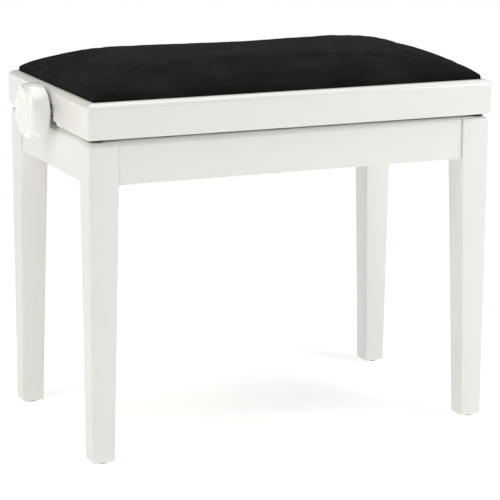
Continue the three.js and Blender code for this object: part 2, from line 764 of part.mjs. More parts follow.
function buildSpindle() {
  const spindle = new THREE.Group();
  spindle.position.z = spindleZ;
  const knobBack = seatLength / 2 + knobStandOff;
  const halfLength = knobBack + knobSocketDepth - fit;
  spindle.add(makePiece("spindle", "zincSteel", rodAlongX(spindleRadius, 2 * halfLength)));
  const bracketX = endApronX - fit - bracketThickness; // inner face of a bracket
  const bushingX = bracketX - fit - bushingFlange;
  const collarX = bushingX - fit - collarWidth;
  const bore = spindleRadius + fit;
  for (const [name, side] of Object.entries(sides)) {
    const end = new THREE.Group();
    end.rotation.z = side > 0 ? 0 : Math.PI;
    const knob = makePiece("knob_" + name, "gloss", knobGeometry());
    knob.position.x = knobBack;
    const bracket = makePiece("spindle_bracket_" + name, "blackSteel", bracketGeometry());
    bracket.position.x = bracketX + bracketThickness / 2;
    const length = bushingFlange + fit + bracketThickness;
    const ring = flangedRing(bore, bushingRadius, length, bushingFlangeRadius, bushingFlange);
    const bushing = makePiece("bushing_" + name, "brass", ring.rotateZ(-Math.PI / 2));
    bushing.position.x = bushingX;
    const band = plainRing(bore, collarRadius, collarWidth).rotateZ(-Math.PI / 2);
    const collar = makePiece("collar_" + name, "blackSteel", band);
    collar.position.x = collarX;
    end.add(knob, bracket, bushing, collar);
    spindle.add(end);
  }
  return spindle;
}

// Crosshead, with its nut on the spindle's axis and its rod on the arms' feet.
function buildCrosshead() {
  const crosshead = new THREE.Group();
  crosshead.position.x = pivotX;
  const low = lowerPivotZ - crossheadOverhang;
  const high = spindleZ + crossheadOverhang;
  const half = crossheadThickness / 2;
  const block = blockBetween([-half, -crossheadHalfWidth, low], [half, crossheadHalfWidth, high]);
  const nutHole = rodAlongX(nutRadius + fit, crossheadThickness + overcut).translate(0, 0, spindleZ);
  const rodHole = rodAlongY(driveRodRadius + fit, 2 * (crossheadHalfWidth + overcut)).translate(0, 0, lowerPivotZ);
  crosshead.add(makePiece("crosshead", "blackSteel", cut(block, [nutHole, rodHole])));

  const nutLength = crossheadThickness + nutFlange + fit;
  const ring = flangedRing(spindleRadius + fit, nutRadius, nutLength, nutFlangeRadius, nutFlange);
  const nut = makePiece("drive_nut", "brass", ring.rotateZ(-Math.PI / 2));
  nut.position.set(-half - nutFlange - fit, 0, spindleZ);
  crosshead.add(nut);

  const rodHalf = angleY - angleWall - laneGap / 2;
  const rod = makePiece("drive_rod", "zincSteel", rodAlongY(driveRodRadius, 2 * rodHalf));
  rod.position.z = lowerPivotZ;
  crosshead.add(rod);

  for (const [name, side] of Object.entries(halves)) {
    const wheel = plainRing(driveRodRadius + fit, rollerRadius, rollerWidth);
    wheel.translate(0, -rollerWidth / 2, 0);
    const roller = makePiece("rod_roller_" + name, "nylon", wheel);
    roller.position.set(0, side * outerArmY, lowerPivotZ);
    crosshead.add(roller);
  }
  return crosshead;
}

const group = new THREE.Group();
group.add(buildLegFrame(), buildSeat(), buildArms(), buildSpindle(), buildCrosshead());

export default group;
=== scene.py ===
import json
import math

import bmesh
import bpy
import numpy as np
from mathutils import Matrix, Vector, noise


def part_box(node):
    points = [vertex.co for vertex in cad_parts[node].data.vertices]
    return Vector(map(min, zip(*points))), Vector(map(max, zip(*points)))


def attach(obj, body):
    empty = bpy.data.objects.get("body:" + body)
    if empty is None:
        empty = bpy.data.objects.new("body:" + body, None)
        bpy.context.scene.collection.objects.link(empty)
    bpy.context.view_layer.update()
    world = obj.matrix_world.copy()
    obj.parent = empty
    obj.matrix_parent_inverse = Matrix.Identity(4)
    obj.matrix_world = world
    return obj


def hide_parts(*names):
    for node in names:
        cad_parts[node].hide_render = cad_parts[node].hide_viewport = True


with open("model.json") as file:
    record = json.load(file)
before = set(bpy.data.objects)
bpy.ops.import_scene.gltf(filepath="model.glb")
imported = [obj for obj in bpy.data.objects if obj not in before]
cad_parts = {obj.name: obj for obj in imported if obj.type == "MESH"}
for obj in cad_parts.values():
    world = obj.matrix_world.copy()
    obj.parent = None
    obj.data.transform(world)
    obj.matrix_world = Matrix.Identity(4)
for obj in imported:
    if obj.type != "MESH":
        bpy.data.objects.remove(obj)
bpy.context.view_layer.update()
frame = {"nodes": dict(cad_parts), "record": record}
nodes = frame["nodes"]
groups = frame["record"]["behaviour"]["bodies"]
bodyOf = {node: body for body, members in groups.items() for node in members}
scene = bpy.context.scene
mm = 0.001

sideTurns = {"front": 0, "right": 1, "back": 2, "left": 3}
cornerTurns = {"front_left": 0, "front_right": 1, "back_right": 2, "back_left": 3}
halves = {"front": -1, "back": 1}
ends = {"left": -1, "right": 1}
print("frame loaded,", len(nodes), "nodes")


# Node trees

class Value:
    # one socket of a node; arithmetic on it adds the Math nodes
    def __init__(self, graph, socket):
        self.graph = graph
        self.socket = socket

    def out(self, name):
        return Value(self.graph, pickSocket(self.socket.node.outputs, name))

    def __add__(self, other):
        return self.graph.math("ADD", self, other)

    def __radd__(self, other):
        return self.graph.math("ADD", other, self)

    def __sub__(self, other):
        return self.graph.math("SUBTRACT", self, other)

    def __rsub__(self, other):
        return self.graph.math("SUBTRACT", other, self)

    def __mul__(self, other):
        return self.graph.math("MULTIPLY", self, other)

    def __rmul__(self, other):
        return self.graph.math("MULTIPLY", other, self)

    def __truediv__(self, other):
        return self.graph.math("DIVIDE", self, other)

    def __rtruediv__(self, other):
        return self.graph.math("DIVIDE", other, self)


def pickSocket(sockets, key):
    if isinstance(key, int):
        return sockets[key]
    named = [s for s in sockets if s.identifier == key or s.name == key]
    shown = [s for s in named if s.enabled]
    return (shown or named)[0]


class Graph:
    # adds nodes to one tree: settings are set first, then the sockets are filled or linked
    def __init__(self, tree):
        self.tree = tree

    def add(self, kind, settings=None, sockets=None):
        node = self.tree.nodes.new(kind)
        for name, value in (settings or {}).items():
            setattr(node, name, value)
        for name, value in (sockets or {}).items():
            socket = pickSocket(node.inputs, name)
            if isinstance(value, Value):
                self.tree.links.new(value.socket, socket)
            else:
                socket.default_value = value
        shown = [s for s in node.outputs if s.enabled]
        return Value(self, shown[0]) if shown else node

    def math(self, operation, *values):
        return self.add("ShaderNodeMath", {"operation": operation}, dict(enumerate(values)))

    def spread(self, place, scale, turn=(0, 0, 0)):
        return self.add("ShaderNodeMapping", {}, {"Vector": place, "Scale": scale, "Rotation": turn})

    def cloud(self, place, scale, detail=3, roughness=0.5, warp=0):
        return self.add("ShaderNodeTexNoise", {}, {
            "Vector": place, "Scale": scale, "Detail": detail, "Roughness": roughness, "Distortion": warp,
        })

    def ramp(self, value, low, high, toLow=0, toHigh=1):
        sockets = {"Value": value, "From Min": low, "From Max": high, "To Min": toLow, "To Max": toHigh}
        return self.add("ShaderNodeMapRange", {"interpolation_type": "SMOOTHSTEP"}, sockets)

    def tint(self, share, first, second):
        sockets = {"Factor_Float": share, "A_Color": first, "B_Color": second}
        return self.add("ShaderNodeMix", {"data_type": "RGBA"}, sockets).out("Result_Color")


def makeFinish(name, fixed, build, depth):
    # build gives what varies over the surface; depth is the height of its relief in metres
    material = bpy.data.materials.new(name)
    material.use_nodes = True
    material.node_tree.nodes.clear()
    graph = Graph(material.node_tree)
    place = graph.add("ShaderNodeTexCoord").out("Object")
    varying = build(graph, place)
    relief = {"Height": varying.pop("height"), "Distance": depth, "Strength": 1}
    normal = graph.add("ShaderNodeBump", {}, relief)
    shader = graph.add("ShaderNodeBsdfPrincipled", {}, {**fixed, **varying, "Normal": normal})
    graph.add("ShaderNodeOutputMaterial", {}, {"Surface": shader})
    return material


def rgb(red, green, blue):
    return (red, green, blue, 1)


def grey(tone):
    return rgb(tone, tone, tone)


# Finishes

paint = {
    "light": rgb(0.806, 0.800, 0.770),
    "shade": rgb(0.776, 0.768, 0.734),
    "fibreScale": 620,
    "fibreStretch": 0.03,
    "peelScale": 420,
    "relief": 0.016 * mm,
}


def paintLook(grain):
    def build(g, place):
        scale = [1, 1, 1]
        scale[grain] = paint["fibreStretch"]
        fibres = g.cloud(g.spread(place, scale), paint["fibreScale"], 2)
        peel = g.cloud(place, paint["peelScale"], 1)
        drift = g.cloud(place, 9, 2)
        rubbed = g.ramp(g.cloud(place, 55, 4, 0.6), 0.45, 0.75)
        share = drift * 0.7 + fibres * 0.3
        return {
            "Base Color": g.tint(share, paint["shade"], paint["light"]),
            "Roughness": 0.27 + 0.06 * rubbed + 0.06 * drift,
            "height": peel * 0.75 + fibres * 0.25,
        }
    return build


def glossLook(g, place):
    drift = g.cloud(place, 24, 3)
    peel = g.cloud(place, 300, 1)
    return {
        "Base Color": g.tint(drift, rgb(0.846, 0.842, 0.816), rgb(0.868, 0.864, 0.842)),
        "Roughness": 0.11 + 0.06 * drift,
        "height": peel,
    }


velvet = {
    "deep": rgb(0.0040, 0.0038, 0.0036),
    "pile": rgb(0.0088, 0.0083, 0.0078),
    "brushed": rgb(0.0150, 0.0142, 0.0130),
    "relief": 0.22 * mm,
}


def velvetLook(g, place):
    pile = g.cloud(place, 1500, 2, 0.6)
    nap = g.cloud(g.spread(place, (1, 1.6, 1)), 210, 3, 0.6)
    brushed = g.ramp(g.cloud(place, 17, 4, 0.55, 0.4), 0.42, 0.68)
    base = g.tint(pile, velvet["deep"], velvet["pile"])
    return {
        "Base Color": g.tint(brushed * (0.35 + 0.65 * nap), base, velvet["brushed"]),
        "Roughness": 0.86 + 0.1 * pile,
        "height": pile * 0.6 + nap * 0.4,
    }


def bareWoodLook(turn):
    def build(g, place):
        along = g.spread(g.spread(place, (1, 1, 1), turn), (0.05, 1, 1))
        rings = g.cloud(along, 120, 3, 0.5, 0.8)
        pores = g.ramp(g.cloud(along, 1400, 2), 0.56, 0.7)
        tone = g.cloud(place, 30, 3)
        wood = g.tint(rings * 0.7 + tone * 0.3, rgb(0.56, 0.38, 0.215), rgb(0.74, 0.56, 0.36))
        return {
            "Base Color": g.tint(pores * 0.5, wood, rgb(0.36, 0.22, 0.12)),
            "Roughness": 0.62 + 0.16 * rings,
            "height": rings * 0.3 - pores * 0.5,
        }
    return build


def plywoodLook(g, place):
    # face veneer runs along X; the edges show the veneers one over the other
    veneer = g.spread(place, (0.05, 1, 1))
    rings = g.cloud(veneer, 60, 4, 0.55, 1.4)
    pores = g.ramp(g.cloud(g.spread(place, (0.04, 1, 1)), 1500, 2), 0.57, 0.7)
    height = g.add("ShaderNodeSeparateXYZ", {}, {"Vector": place}).out("Z")
    plies = g.math("FRACT", height / (2.8 * mm))
    dark = g.ramp(g.math("ABSOLUTE", plies - 0.5), 0.18, 0.3)
    face = g.tint(rings, rgb(0.60, 0.41, 0.235), rgb(0.75, 0.57, 0.37))
    edge = g.tint(dark, rgb(0.70, 0.52, 0.33), rgb(0.40, 0.25, 0.14))
    facing = g.add("ShaderNodeNewGeometry").out("Normal")
    upright = g.math("ABSOLUTE", g.add("ShaderNodeSeparateXYZ", {}, {"Vector": facing}).out("Z"))
    flat = g.ramp(upright, 0.3, 0.7)
    wood = g.tint(flat, edge, face)
    return {
        "Base Color": g.tint(pores * 0.45, wood, rgb(0.36, 0.22, 0.12)),
        "Roughness": 0.6 + 0.18 * rings,
        "height": rings * 0.3 - pores * 0.5,
    }


def metalLook(light, dark, smooth, rough, grain):
    # grain stretches the fine marks along one axis, as rolling or turning leaves them
    def build(g, place):
        marks = g.cloud(g.spread(place, grain), 1300, 2, 0.6)
        spots = g.cloud(place, 90, 4, 0.6)
        return {
            "Base Color": g.tint(spots * 0.6 + marks * 0.4, dark, light),
            "Roughness": smooth + (rough - smooth) * spots,
            "height": marks * 0.6 + spots * 0.4,
        }
    return build


def powderLook(g, place):
    grains = g.cloud(place, 1100, 2, 0.6)
    drift = g.cloud(place, 35, 3)
    worn = g.ramp(g.cloud(place, 160, 4, 0.7), 0.66, 0.74)
    coat = g.tint(drift, rgb(0.012, 0.012, 0.013), rgb(0.026, 0.026, 0.028))
    return {
        "Base Color": g.tint(worn * 0.4, coat, rgb(0.09, 0.088, 0.085)),
        "Roughness": 0.42 + 0.16 * grains,
        "height": grains,
    }


def mouldedLook(light, dark, rough):
    def build(g, place):
        skin = g.cloud(place, 800, 2)
        drift = g.cloud(place, 60, 3)
        return {
            "Base Color": g.tint(drift, dark, light),
            "Roughness": rough + 0.12 * skin,
            "height": skin,
        }
    return build


lacquered = {"Coat Weight": 0.5, "Coat Roughness": 0.14, "IOR": 1.5}
paintAlong = {
    axis: makeFinish("white lacquer along " + axis, lacquered, paintLook(i), paint["relief"])
    for i, axis in enumerate("xyz")
}
knobGloss = makeFinish(
    "gloss lacquer", {"Coat Weight": 0.8, "Coat Roughness": 0.04, "IOR": 1.5}, glossLook, 0.008 * mm
)
velvetFinish = makeFinish(
    "black velvet",
    {"Sheen Weight": 0.02, "Sheen Roughness": 0.5, "Specular IOR Level": 0.08},
    velvetLook,
    velvet["relief"],
)
eighth = math.pi / 4
woodLeaning = makeFinish("beech", {}, bareWoodLook((0, 0, eighth)), 0.04 * mm)
woodLeaningBack = makeFinish("beech the other way", {}, bareWoodLook((0, 0, -eighth)), 0.04 * mm)
plywood = makeFinish("plywood", {}, plywoodLook, 0.04 * mm)
metals = {
    # light, dark, smoothest, roughest, grain
    "zinc plate": (rgb(0.70, 0.71, 0.72), rgb(0.52, 0.53, 0.55), 0.24, 0.42, (0.08, 1, 1)),
    "zinc plate, turned": (rgb(0.72, 0.73, 0.74), rgb(0.54, 0.55, 0.57), 0.2, 0.38, (1, 0.3, 1)),
    "oiled steel": (rgb(0.16, 0.16, 0.165), rgb(0.09, 0.09, 0.095), 0.3, 0.46, (1, 0.2, 1)),
    "turned brass": (rgb(0.80, 0.60, 0.27), rgb(0.62, 0.44, 0.18), 0.2, 0.36, (1, 0.15, 0.15)),
}
zincAlongX, zincTurned, pinSteel, brass = (
    makeFinish(name, {"Metallic": 1.0}, metalLook(*look), 0.01 * mm) for name, look in metals.items()
)
blackPowder = makeFinish("black powder coat", {"IOR": 1.5}, powderLook, 0.03 * mm)
nylon = makeFinish(
    "white nylon", {"IOR": 1.53}, mouldedLook(rgb(0.80, 0.79, 0.74), rgb(0.70, 0.69, 0.64), 0.4), 0.02 * mm
)
glidePlastic = makeFinish(
    "glide plastic", {"IOR": 1.5}, mouldedLook(grey(0.05), grey(0.028), 0.42), 0.02 * mm
)
rubber = makeFinish("black rubber", {"IOR": 1.5}, mouldedLook(grey(0.024), grey(0.012), 0.7), 0.04 * mm)
print("finishes made")


# Shaping

def turnZ(quarter):
    return Matrix.Rotation(quarter * math.pi / 2, 4, "Z")


def filletOutline(points, steps):
    # points are (x, y, radius); gives the closed outline with those corners rounded
    made = []
    for i, (x, y, radius) in enumerate(points):
        here = Vector((x, y))
        if radius <= 0:
            made.append(here)
            continue
        before = (Vector(points[i - 1][:2]) - here).normalized()
        after = (Vector(points[(i + 1) % len(points)][:2]) - here).normalized()
        half = before.angle(after) / 2
        sweep = math.pi - 2 * half
        centre = here + (before + after).normalized() * (radius / math.sin(half))
        first = here + before * (radius / math.tan(half)) - centre
        last = here + after * (radius / math.tan(half)) - centre
        count = max(2, round(steps * sweep / (math.pi / 2)))
        for k in range(count + 1):
            t = k / count
            spoke = (first * math.sin((1 - t) * sweep) + last * math.sin(t * sweep)) / math.sin(sweep)
            made.append(centre + spoke)
    return made


def loftMesh(rings, cap=True):
    # joins rings of equally many points, each ring closed on itself
    bm = bmesh.new()
    rows = [[bm.verts.new(p) for p in ring] for ring in rings]
    count = len(rows[0])
    for low, high in zip(rows, rows[1:]):
        for i in range(count):
            j = (i + 1) % count
            bm.faces.new((low[i], low[j], high[j], high[i]))
    if cap:
        bm.faces.new(rows[0])
        bm.faces.new(rows[-1])
    bmesh.ops.remove_doubles(bm, verts=bm.verts, dist=0.002 * mm)
    bmesh.ops.dissolve_degenerate(bm, edges=bm.edges, dist=0.002 * mm)
    bmesh.ops.recalc_face_normals(bm, faces=bm.faces)
    return bm


def latheMesh(outline, fillet, segments, place, closed=True):
    # outline is (radius, distance along the local Z axis, corner radius)
    profile = filletOutline(outline, fillet)
    if closed:
        profile.append(profile[0])
    angles = [2 * math.pi * k / segments for k in range(segments)]
    turns = [(math.cos(angle), math.sin(angle)) for angle in angles]
    return loftMesh([[place @ Vector((p.x * c, p.x * s, p.y)) for c, s in turns] for p in profile], cap=False)


def inScene(name, data):
    obj = bpy.data.objects.new(name, data)
    scene.collection.objects.link(obj)
    return obj


def toObject(bm, name):
    mesh = bpy.data.meshes.new(name)
    bm.to_mesh(mesh)
    bm.free()
    return inScene(name, mesh)


def bakeModifiers(obj):
    # turns the evaluated shape into the object's own mesh
    graph = bpy.context.evaluated_depsgraph_get()
    mesh = bpy.data.meshes.new_from_object(obj.evaluated_get(graph))
    obj.modifiers.clear()
    obj.data = mesh
    return obj


def finishPiece(obj, finish, body, replaced=(), crease=38):
    obj.data.materials.clear()
    obj.data.materials.append(finish)
    obj.data.polygons.foreach_set("use_smooth", [True] * len(obj.data.polygons))
    obj.data.set_sharp_from_angle(angle=math.radians(crease))
    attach(obj, body)
    if replaced:
        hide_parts(*replaced)
    return obj


def soften(node, name, finish, width, segments=2):
    # a copy of a plain node with its triangles merged and its edges eased
    bm = bmesh.new()
    bm.from_mesh(nodes[node].data)
    bmesh.ops.remove_doubles(bm, verts=bm.verts, dist=0.004 * mm)
    bmesh.ops.dissolve_limit(bm, angle_limit=math.radians(0.6), verts=bm.verts, edges=bm.edges)
    obj = toObject(bm, name)
    bevel = obj.modifiers.new("eased edges", "BEVEL")
    bevel.width = width
    bevel.segments = segments
    bevel.limit_method = "ANGLE"
    bevel.angle_limit = math.radians(40)
    bakeModifiers(obj)
    return finishPiece(obj, finish, bodyOf[node], [node])


def boxOf(node):
    low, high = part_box(node)
    return low, high, (low + high) / 2


def cadHighOf(node):
    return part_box(node)[1]


def sideSpan(node, turn):
    # outer reach, thickness and length of a board along one side, and whether it runs along X
    low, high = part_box(node)
    size = high - low
    flat = turn % 2 == 0
    across, along = (1, 0) if flat else (0, 1)
    return max(abs(low[across]), abs(high[across])), size[across], size[along], flat


# Legs

leg = {
    "foot": 29 * mm,
    "edge": 2.0 * mm,
    "footChamfer": 1.5 * mm,
    "topRound": 7.5 * mm,
    "edgeGrowth": 0.6,
    "topSteps": 12,
    "footSteps": 3,
    "taperSteps": 12,
    "cornerSteps": 6,
}


def buildLeg(corner):
    turn = cornerTurns[corner]
    low, high, middle = boxOf("leg_" + corner)
    width = high.x - low.x
    outer = Vector((low.x if middle.x < 0 else high.x, low.y if middle.y < 0 else high.y, low.z))
    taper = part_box("apron_front")[0].z - low.z
    height = high.z - low.z
    growth = (width - leg["foot"]) / taper
    levels = []
    for k in range(leg["footSteps"] + 1):
        angle = (math.pi / 2) * k / leg["footSteps"]
        inset = leg["footChamfer"] * (1 - math.sin(angle))
        rise = leg["footChamfer"] * (1 - math.cos(angle))
        levels.append((rise, inset, leg["foot"] + growth * rise - inset, 0))
    for k in range(1, leg["taperSteps"] + 1):
        rise = leg["footChamfer"] + (taper - leg["footChamfer"]) * k / leg["taperSteps"]
        levels.append((rise, 0, leg["foot"] + growth * rise, 0))
    for k in range(leg["topSteps"] + 1):
        angle = (math.pi / 2) * k / leg["topSteps"]
        inset = leg["topRound"] * (1 - math.cos(angle))
        levels.append((height - leg["topRound"] * (1 - math.sin(angle)), inset, width, inset))
    place = Matrix.Translation(outer) @ turnZ(turn)
    rings = []
    for rise, start, stop, inset in levels:
        radius = leg["edge"] + leg["edgeGrowth"] * inset
        others = [(x, y, leg["edge"]) for x, y in ((stop, start), (stop, stop), (start, stop))]
        square = [(start, start, radius), *others]
        rings.append([place @ Vector((p.x, p.y, rise)) for p in filletOutline(square, leg["cornerSteps"])])
    obj = toObject(loftMesh(rings), "tapered_leg_" + corner)
    return finishPiece(obj, paintAlong["z"], "base", ["leg_" + corner])


# Aprons

apron = {"round": 7.5 * mm, "ease": 1.1 * mm, "seam": 0.25 * mm, "steps": 10, "halfCuts": 4}


def buildApron(side):
    turn = sideTurns[side]
    low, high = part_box("apron_" + side)
    reach, thickness, length, flat = sideSpan("apron_" + side, turn)
    half = length / 2 - apron["seam"]
    ease = apron["ease"]
    outline = filletOutline([
        (0, low.z, ease), (thickness, low.z, ease), (thickness, high.z, ease), (0, high.z, apron["round"]),
    ], apron["steps"])
    place = turnZ(turn) @ Matrix.Translation((0, -reach, 0))
    cuts = apron["halfCuts"]
    rings = [[place @ Vector((half * k / cuts, p.x, p.y)) for p in outline] for k in range(-cuts, cuts + 1)]
    obj = toObject(loftMesh(rings), "apron_board_" + side)
    return finishPiece(obj, paintAlong["x" if flat else "y"], "base", ["apron_" + side])


# Seat frame

rail = {
    "ledge": 11.5 * mm,
    "rabbet": 14.4 * mm,
    "round": 8.5 * mm,
    "lip": 1.3 * mm,
    "ease": 1.2 * mm,
    "corner": 4.2 * mm,
    "seam": 0.02 * mm,
    "cornerSteps": 7,
    "edgeSteps": 10,
}
notch = {
    "halfWidth": 28 * mm,
    "height": 39 * mm,
    "topRadius": 27 * mm,
    "footRadius": 3 * mm,
    "mouth": 42 * mm,
    "mouthRise": 4 * mm,
    "mouthRadius": 1.8 * mm,
    "ease": 0.7 * mm,
    "overcut": 6 * mm,
    "steps": 12,
}


def railRings(halfSpan, reach, outline):
    # each point of the outline follows the frame's side, with a corner that sharpens inwards
    stations = []
    for end in (-1, 1):
        steps = [k / rail["cornerSteps"] for k in range(rail["cornerSteps"] + 1)]
        stations += [(end, t) for t in (steps if end < 0 else reversed(steps))]
    rings = []
    for end, t in stations:
        ring = []
        for p in outline:
            radius = rail["corner"] * max(0.0, 1 - p.x / rail["ledge"])
            angle = (math.pi / 4) * (5 + t)  # from the mitre round to the flat of the side
            x = -halfSpan + p.x + radius + radius * math.cos(angle) + rail["seam"]
            y = -reach + p.x + radius + radius * math.sin(angle)
            ring.append(Vector((-end * x, y, p.y)))
        rings.append(ring)
    return rings


def notchCutter(reach, bottom, width):
    over = notch["overcut"]
    rightHalf = [
        (notch["mouth"], -over, 0),
        (notch["mouth"], notch["mouthRise"], notch["mouthRadius"]),
        (notch["halfWidth"], notch["mouthRise"], notch["footRadius"]),
        (notch["halfWidth"], notch["height"], notch["topRadius"]),
    ]
    leftHalf = [(-x, y, radius) for x, y, radius in reversed(rightHalf)]
    outline = filletOutline(rightHalf + leftHalf, notch["steps"])
    depths = (-reach - over, -reach + width + over)
    bm = loftMesh([[Vector((p.x, y, bottom + p.y)) for p in outline] for y in depths])
    for face in bm.faces:
        face.material_index = 1
    return toObject(bm, "notch_cutter")


def subtractFrom(obj, tool):
    cut = obj.modifiers.new("cut", "BOOLEAN")
    cut.object = tool
    cut.operation = "DIFFERENCE"
    cut.solver = "EXACT"
    cut.material_mode = "INDEX"
    bakeModifiers(obj)
    bpy.data.objects.remove(tool)


def cutNotch(obj, cutter):
    # the cutter's faces carry the second index, which tells where the rim runs
    for _ in range(2):
        obj.data.materials.append(None)
        cutter.data.materials.append(None)
    subtractFrom(obj, cutter)
    bm = bmesh.new()
    bm.from_mesh(obj.data)
    bmesh.ops.remove_doubles(bm, verts=bm.verts, dist=0.01 * mm)
    rim = [
        e for e in bm.edges
        if len(e.link_faces) == 2 and e.link_faces[0].material_index != e.link_faces[1].material_index
    ]
    ease = {"offset": notch["ease"], "segments": 3, "profile": 0.5, "clamp_overlap": True}
    bmesh.ops.bevel(bm, geom=rim, affect="EDGES", **ease)
    bm.to_mesh(obj.data)
    bm.free()


def buildRail(side):
    turn = sideTurns[side]
    low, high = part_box("seat_rail_" + side)
    reach, width, _, flat = sideSpan("seat_rail_" + side, turn)
    halfSpan = cadHighOf("seat_rail_right").x if flat else cadHighOf("seat_rail_back").y
    ease, ledge, shelf = rail["ease"], rail["ledge"], high.z - rail["rabbet"]
    outline = filletOutline([
        (0, low.z, ease), (width, low.z, ease), (width, shelf, ease),
        (ledge, shelf, 0), (ledge, high.z, rail["lip"]), (0, high.z, rail["round"]),
    ], rail["edgeSteps"])
    obj = toObject(loftMesh(railRings(halfSpan, reach, outline)), "seat_frame_" + side)
    if not flat:
        cutNotch(obj, notchCutter(reach, low.z, width))
    obj.data.transform(turnZ(turn))
    return finishPiece(obj, paintAlong["x" if flat else "y"], "seat", ["seat_rail_" + side])


for cornerName in cornerTurns:
    buildLeg(cornerName)
for sideName in sideTurns:
    buildApron(sideName)
    buildRail(sideName)
print("legs, aprons and seat frame built")


# Cushion

cushion = {
    "edgeRise": 5 * mm,
    "crown": 35.5 * mm,
    "flatAlong": 8,
    "flatAcross": 4,
    "softness": 0.56,
    "columns": 132,
    "rows": 78,
    "edgeShare": 0.42,
    "wrap": 1.5 * mm,
    "fill": 0.85,
    "underfill": 1.4 * mm,
    "cap": 2.4 * mm,
    "boardGap": 0.15 * mm,
    "tuck": 4 * mm,
    "frames": 20,
    "pinnedBand": 9 * mm,
    "cloth": {
        "vertex_group_mass": "held",
        "use_pressure": True,
        "uniform_pressure_force": 3,
        "quality": 6,
        "mass": 0.4,
        "tension_stiffness": 18,
        "compression_stiffness": 18,
        "shear_stiffness": 8,
        "bending_stiffness": 1.2,
        "shrink_min": -0.003,
    },
    "swells": [(16, 0.7 * mm), (45, 0.25 * mm)],
    "swellFrom": 2 * mm,
    "swellBand": 14 * mm,
}


def crownHeight(u, v, rise):
    fullness = max(0.0, (1 - abs(u) ** cushion["flatAlong"]) * (1 - abs(v) ** cushion["flatAcross"]))
    return rise * fullness ** cushion["softness"]


def towardsEdge(t):
    # grid lines drawn closer together at the edges
    share = cushion["edgeShare"]
    return share * t + (1 - share) * math.sin(t * math.pi / 2)


def padMesh(low, high, rise, boardTop, frameTop):
    halfX, halfY = high.x, high.y
    edgeZ = frameTop + cushion["edgeRise"]
    bm = bmesh.new()
    columns, rows = cushion["columns"], cushion["rows"]
    grid = []
    for j in range(rows + 1):
        v = towardsEdge(2 * j / rows - 1)
        line = []
        for i in range(columns + 1):
            u = towardsEdge(2 * i / columns - 1)
            line.append(bm.verts.new((u * halfX, v * halfY, edgeZ + crownHeight(u, v, rise))))
        grid.append(line)
    for j in range(rows):
        for i in range(columns):
            bm.faces.new((grid[j][i], grid[j][i + 1], grid[j + 1][i + 1], grid[j + 1][i]))
    loop = [grid[0][i] for i in range(columns)] + [grid[j][columns] for j in range(rows)]
    loop += [grid[rows][i] for i in range(columns, 0, -1)] + [grid[j][0] for j in range(rows, 0, -1)]
    wrap = cushion["wrap"]
    shells = [
        (0, frameTop), (0, frameTop - cushion["tuck"]), (0, low.z + wrap),
        (0, low.z), (wrap, low.z), (wrap, boardTop),
    ]
    previous = loop
    for inset, z in shells:
        ring = []
        for vert in loop:
            x = math.copysign(min(abs(vert.co.x), halfX - inset), vert.co.x)
            y = math.copysign(min(abs(vert.co.y), halfY - inset), vert.co.y)
            ring.append(bm.verts.new((x, y, z)))
        for i in range(len(loop)):
            j = (i + 1) % len(loop)
            bm.faces.new((previous[i], previous[j], ring[j], ring[i]))
        previous = ring
    below = dict(zip(loop, previous))
    under = [[below.get(vert) for vert in line] for line in grid]
    for line, topLine in zip(under, grid):
        for i, vert in enumerate(topLine):
            if line[i] is None:
                line[i] = bm.verts.new((vert.co.x, vert.co.y, boardTop))
    for j in range(rows):
        for i in range(columns):
            bm.faces.new((under[j][i], under[j + 1][i], under[j + 1][i + 1], under[j][i + 1]))
    bmesh.ops.recalc_face_normals(bm, faces=bm.faces)
    return bm


def inflate(obj, edgeZ):
    # the pad is blown up under its cover, held where it meets the frame
    rest = np.array([v.co for v in obj.data.vertices])
    held = obj.vertex_groups.new(name="held")
    for i, (x, y, z) in enumerate(rest):
        weight = min(1.0, max(0.0, 1 - (z - edgeZ) / cushion["pinnedBand"]))
        held.add([i], weight, "REPLACE")
    cloth = obj.modifiers.new("cover", "CLOTH")
    for name, value in cushion["cloth"].items():
        setattr(cloth.settings, name, value)
    cloth.settings.effector_weights.gravity = 0
    cloth.point_cache.frame_start = 1
    cloth.point_cache.frame_end = cushion["frames"]
    cloth.collision_settings.use_collision = False
    for step in range(1, cushion["frames"] + 1):
        scene.frame_set(step)
    graph = bpy.context.evaluated_depsgraph_get()
    blown = np.array([v.co for v in obj.evaluated_get(graph).data.vertices])
    obj.modifiers.clear()
    scene.frame_set(1)
    moved = blown - rest
    far = np.linalg.norm(moved, axis=1)
    print("cushion swelled by up to", round(float(far.max()) / mm, 2), "mm")
    share = np.minimum(1.0, cushion["cap"] / np.maximum(far, 1e-9))
    return rest + moved * share[:, None]


def buildCushion():
    low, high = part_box("seat_cover")
    frameTop = cadHighOf("seat_rail_front").z
    boardTop = cadHighOf("seat_board").z + cushion["boardGap"]
    edgeZ = frameTop + cushion["edgeRise"]
    rise = cushion["crown"] - cushion["edgeRise"]
    start = rise - cushion["underfill"]
    obj = toObject(padMesh(low, high, start, boardTop, frameTop), "velvet_cushion")
    points = inflate(obj, edgeZ)
    top = points[:, 2] > edgeZ
    full = rise / (points[:, 2].max() - edgeZ)
    print("cushion crown evened by", round(float(full), 3))
    points[top, 2] = edgeZ + (points[top, 2] - edgeZ) * full
    obj.data.vertices.foreach_set("co", points.ravel())
    for vert in obj.data.vertices:
        if vert.co.z > edgeZ + cushion["swellFrom"]:
            swell = sum(noise.noise(vert.co * scale) * height for scale, height in cushion["swells"])
            vert.co.z += swell * min(1.0, (vert.co.z - edgeZ) / cushion["swellBand"])
    rounded = obj.modifiers.new("rounded", "SUBSURF")
    rounded.levels = rounded.render_levels = 1
    bakeModifiers(obj)
    finishPiece(obj, velvetFinish, "seat", ["seat_cover", "seat_foam"], crease=80)


buildCushion()
print("cushion made")


# Knobs, spindle and other turned pieces

